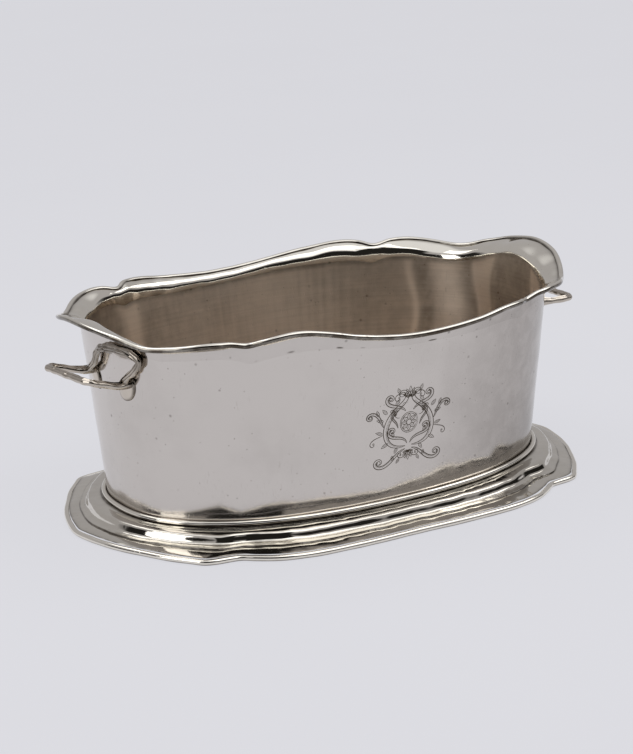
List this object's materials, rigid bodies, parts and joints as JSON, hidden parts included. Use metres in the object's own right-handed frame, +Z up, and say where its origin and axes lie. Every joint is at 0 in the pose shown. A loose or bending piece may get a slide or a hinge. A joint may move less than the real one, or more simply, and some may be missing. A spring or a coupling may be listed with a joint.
{
  "type": "champagne bucket",
  "caption": "Free-standing oval silver wine cooler with tapered walls, a flared and pinched rim, a stepped lobed foot and a fixed loop handle at each end",
  "frame": {"origin": "on the table, under the middle of the foot", "axes": "+X along the long axis towards the right handle, +Y towards the back, +Z up out of the mouth"},
  "size_m": [0.5087, 0.3386, 0.1925],
  "materials": {
    "body_silver": "softly polished silver with fine scratches, pits and small dents",
    "inside_silver": "tarnished, brushed silver of the inside",
    "polished_silver": "bright polished silver, hand hammered, a little wavy",
    "handle_silver": "bright cast silver with darkened hollows"
  },
  "bodies": {
    "root": {"body_wall": "body_silver", "base_plate": "inside_silver", "rim_border": "polished_silver", "rim_wire": "polished_silver", "foot_bead": "polished_silver", "foot_shell": "polished_silver", "foot_wire": "polished_silver", "left_handle_loop": "handle_silver", "left_handle_brace": "handle_silver", "left_front_pad": "handle_silver", "left_rear_pad": "handle_silver", "right_handle_loop": "handle_silver", "right_handle_brace": "handle_silver", "right_front_pad": "handle_silver", "right_rear_pad": "handle_silver"}
  },
  "joints": []
}
